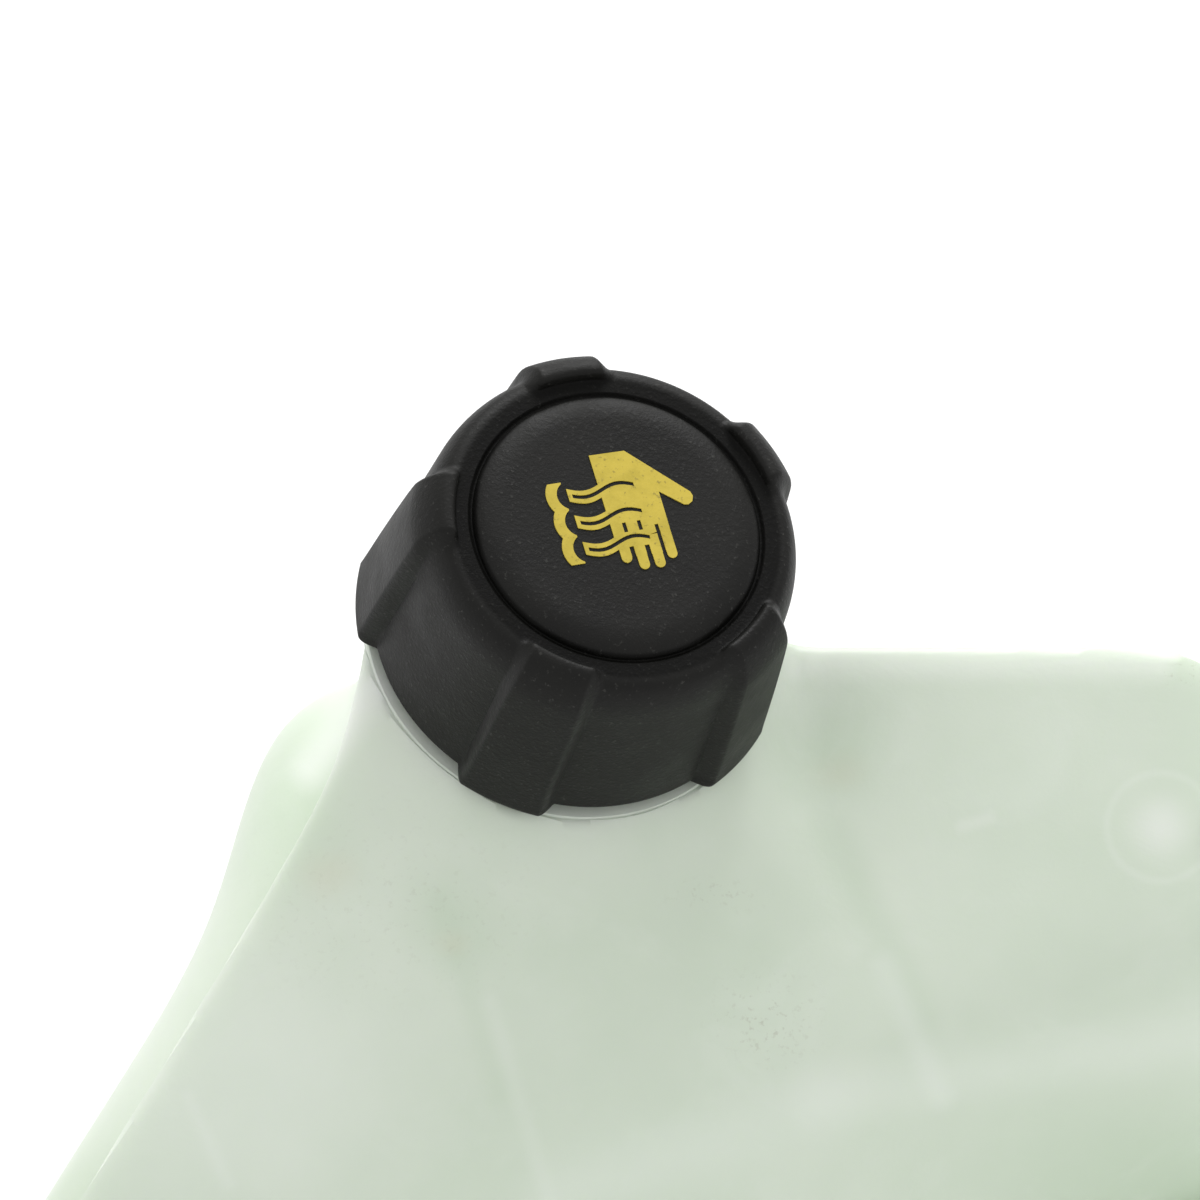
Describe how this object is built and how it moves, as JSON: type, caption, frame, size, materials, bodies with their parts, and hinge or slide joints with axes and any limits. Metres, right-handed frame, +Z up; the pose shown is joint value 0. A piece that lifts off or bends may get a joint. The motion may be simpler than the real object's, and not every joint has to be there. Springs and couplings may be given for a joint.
{
  "type": "coolant expansion tank",
  "caption": "Translucent moulded coolant expansion tank with a sloping face, a tilted threaded neck and a black lugged pressure cap with a yellow pictogram.",
  "frame": {"origin": "middle of the standing face, at its underside", "axes": "+Z up, +X to the right along the ridge, -Y to the front, where the big face slopes down"},
  "size_m": [0.2275, 0.1549, 0.1789],
  "materials": {
    "tank_plastic": "translucent moulded polypropylene, satin",
    "cap_plastic": "black glass-filled nylon, fine moulded texture",
    "inlay_plastic": "yellow second-shot plastic, worn",
    "insert_plastic": "black moulded plastic",
    "seal_rubber": "moulded EPDM",
    "valve_plastic": "natural acetal",
    "steel": "bright zinc-plated or stainless steel"
  },
  "bodies": {
    "tank": {"upper_shell": "tank_plastic", "lower_shell": "tank_plastic", "left_grommet": "seal_rubber", "left_sleeve": "steel", "right_grommet": "seal_rubber", "right_sleeve": "steel"},
    "insert": {"valve_carrier": "insert_plastic", "spring_cover": "insert_plastic", "neck_o_ring": "seal_rubber", "relief_spring": "steel"},
    "cap": {"cap_shell": "cap_plastic", "hot_symbol": "inlay_plastic"},
    "relief": {"relief_plate": "steel", "relief_seal": "seal_rubber", "vacuum_spring": "steel"},
    "vacuum": {"vacuum_poppet": "valve_plastic", "vacuum_seal": "seal_rubber", "vacuum_clip": "steel"}
  },
  "joints": [
    {"name": "cap_rise", "type": "slide", "parent": "tank", "child": "insert", "axis": [0.2161, -0.292, 0.9317], "range_m": [0, 0.006]},
    {"name": "cap_turn", "type": "hinge", "parent": "insert", "child": "cap", "pos_m": [-0.008, 0.028, 0.137], "axis": [0.2161, -0.292, 0.9317], "range_deg": [0, 540]},
    {"name": "relief_lift", "type": "slide", "parent": "insert", "child": "relief", "axis": [0.2161, -0.292, 0.9317], "range_m": [0, 0.0025], "stiffness_N_per_m": 4000, "springref_m": -0.0075, "deforming": ["relief_spring"]},
    {"name": "vacuum_open", "type": "slide", "parent": "relief", "child": "vacuum", "axis": [-0.2161, 0.292, -0.9317], "range_m": [0, 0.0015], "stiffness_N_per_m": 200, "springref_m": -0.0025, "deforming": ["vacuum_spring"]}
  ],
  "couplings": [
    {"joint": "cap_rise", "follows": "cap_turn", "m_per_rad": 0.00063662}
  ]
}
